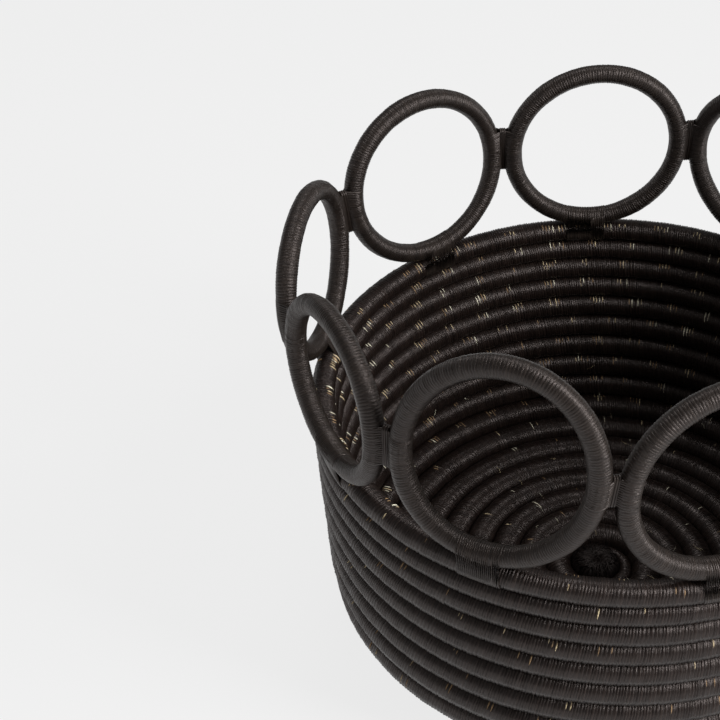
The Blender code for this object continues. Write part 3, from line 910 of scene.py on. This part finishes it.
def add_loose_bit():
    """A thin, bowed bit of straw that lies on the cord inside the basket."""
    rounds = straw_chance.uniform(*LOOSE_BIT_ROUNDS)
    section = body_section(rounds)
    inward, upward, along = cord_directions(rounds, section.slope)
    heading = straw_chance.uniform(0, TURN)
    bow = straw_chance.uniform(*LOOSE_BIT_TURNS)
    step_length = straw_chance.uniform(*LOOSE_BIT_LENGTHS) * MM / LOOSE_BIT_STEPS
    shift = straw_chance.uniform(*LOOSE_BIT_SHIFTS) * section.thickness
    place = section.middle + inward * (section.thickness / 2 + LOOSE_BIT_GAP) + upward * shift
    spline = straw_curves[straw_chance.choice(("bright", "plain"))].splines.new("POLY")
    spline.points.add(LOOSE_BIT_STEPS)
    for i, point in enumerate(spline.points):
        turned = heading + bow * i / LOOSE_BIT_STEPS
        place = place + (along * math.cos(turned) + upward * math.sin(turned)) * step_length
        lift = inward * math.sin(i / LOOSE_BIT_STEPS * math.pi) * LOOSE_BIT_LIFT
        point.co = (*(place + lift), 1.0)
        point.radius = LOOSE_BIT_WIDTH


def add_straw(tone, colour):
    """All the straw of one tone, as one piece."""
    guide = bpy.data.objects.new("straw_guide", straw_curves[tone])
    mesh = bpy.data.meshes.new_from_object(guide)
    bpy.data.objects.remove(guide)
    bm = bmesh.new()
    bm.from_mesh(mesh)
    bmesh.ops.remove_doubles(bm, verts=bm.verts, dist=0.0001 * MM)
    bmesh.ops.recalc_face_normals(bm, faces=bm.faces)
    bm.to_mesh(mesh)
    bm.free()
    mesh.name = f"straw_{tone}"
    put(mesh, straw_material(f"{tone} straw", colour), "body_sisal")


add_straw_in_slits()
add_straw_at_feet()
for _ in range(LOOSE_BITS):
    add_loose_bit()
for tone, colour in STRAW_COLOURS.items():
    add_straw(tone, colour)


# The table under the basket, a soft sky all round, a lamp above and a tall window at the right. The camera
# sees most of the table's white from the table itself, and the rest with the basket's shadow.
FLOOR_SIZE = 200.0
FLOOR_GREY = (0.7, 0.7, 0.7, 1.0)
OWN_WHITE_SHARE = 0.86
OWN_WHITE = 0.93
SKY_LIGHT = 0.2
SKY_SEEN = 0.86
LIT_POINT = Vector((0.0, 0.0, 0.08))
LAMPS = (
    # name, place, width, height and power
    ("lamp above", (-0.1, 0.45, 1.5), 0.5, 0.5, 5.5),
    ("window at the right", (1.10, -0.62, 0.8), 0.4, 1.1, 23.0),
)


def ray_is(tree, *kinds):
    """One for rays of any of these kinds, else zero."""
    ray = tree.nodes.new("ShaderNodeLightPath")
    found = ray.outputs[kinds[0]]
    for kind in kinds[1:]:
        either = tree.nodes.new("ShaderNodeMath")
        either.operation = "MAXIMUM"
        tree.links.new(found, either.inputs[0])
        tree.links.new(ray.outputs[kind], either.inputs[1])
        found = either.outputs[0]
    return found


def add_table():
    bpy.ops.mesh.primitive_plane_add(size=FLOOR_SIZE, location=(0.0, 0.0, 0.0))
    floor = bpy.context.object
    floor.name = "floor"
    material, tree, shader = new_material("pale floor")
    shader.inputs["Base Color"].default_value = FLOOR_GREY
    shader.inputs["Roughness"].default_value = 0.9
    shader.inputs["Specular IOR Level"].default_value = 0.1
    share = tree.nodes.new("ShaderNodeMath")
    share.operation = "MULTIPLY"
    share.inputs[1].default_value = OWN_WHITE_SHARE
    seen = ray_is(tree, "Is Camera Ray", "Is Glossy Ray", "Is Transmission Ray")
    tree.links.new(seen, share.inputs[0])
    white = tree.nodes.new("ShaderNodeEmission")
    white.inputs["Strength"].default_value = OWN_WHITE
    mix = tree.nodes.new("ShaderNodeMixShader")
    tree.links.new(share.outputs[0], mix.inputs["Fac"])
    tree.links.new(shader.outputs[0], mix.inputs[1])
    tree.links.new(white.outputs[0], mix.inputs[2])
    tree.links.new(mix.outputs[0], tree.nodes["Material Output"].inputs["Surface"])
    floor.data.materials.append(material)


def add_sky():
    """A sky that gives a little light, and that the camera sees as pale as the table."""
    world = bpy.data.worlds.new("soft sky")
    world.use_nodes = True
    tree = world.node_tree
    tree.nodes["Background"].inputs["Color"].default_value = (1.0, 1.0, 1.0, 1.0)
    brightness = tree.nodes.new("ShaderNodeMapRange")
    brightness.inputs["To Min"].default_value = SKY_LIGHT
    brightness.inputs["To Max"].default_value = SKY_SEEN
    tree.links.new(ray_is(tree, "Is Camera Ray"), brightness.inputs["Value"])
    tree.links.new(brightness.outputs[0], tree.nodes["Background"].inputs["Strength"])
    bpy.context.scene.world = world


def add_lamp(name, place, width, height, power):
    light = bpy.data.lights.new(name, "AREA")
    light.shape = "RECTANGLE"
    light.size = width
    light.size_y = height
    light.energy = power
    lamp = bpy.data.objects.new(name, light)
    lamp.location = place
    lamp.rotation_euler = (LIT_POINT - Vector(place)).to_track_quat("-Z", "Y").to_euler()
    bpy.context.scene.collection.objects.link(lamp)


add_table()
add_sky()
for lamp in LAMPS:
    add_lamp(*lamp)


# The camera, above the front of the basket and a little to the left, turned slightly. Its picture is
# shifted, so that the basket fills the right-hand part and runs out of it.
CAMERA_PLACE = (-0.0735, -0.4747, 0.4799)
CAMERA_RIGHT = (0.99962, -0.01645, -0.02213)
CAMERA_UP = (0.02757, 0.59627, 0.80229)
CAMERA_BACK = (0.0, -0.8026, 0.5965)


def add_camera():
    turned = Matrix((CAMERA_RIGHT, CAMERA_UP, CAMERA_BACK)).transposed().to_4x4()
    camera = bpy.data.objects.new("camera", bpy.data.cameras.new("camera"))
    camera.matrix_world = Matrix.Translation(CAMERA_PLACE) @ turned
    camera.data.sensor_width = 36.0
    camera.data.lens = 71.2
    camera.data.shift_x = -0.10
    camera.data.clip_start = 0.01
    bpy.context.scene.collection.objects.link(camera)
    bpy.context.scene.camera = camera


add_camera()
bpy.context.scene.view_settings.view_transform = "Standard"
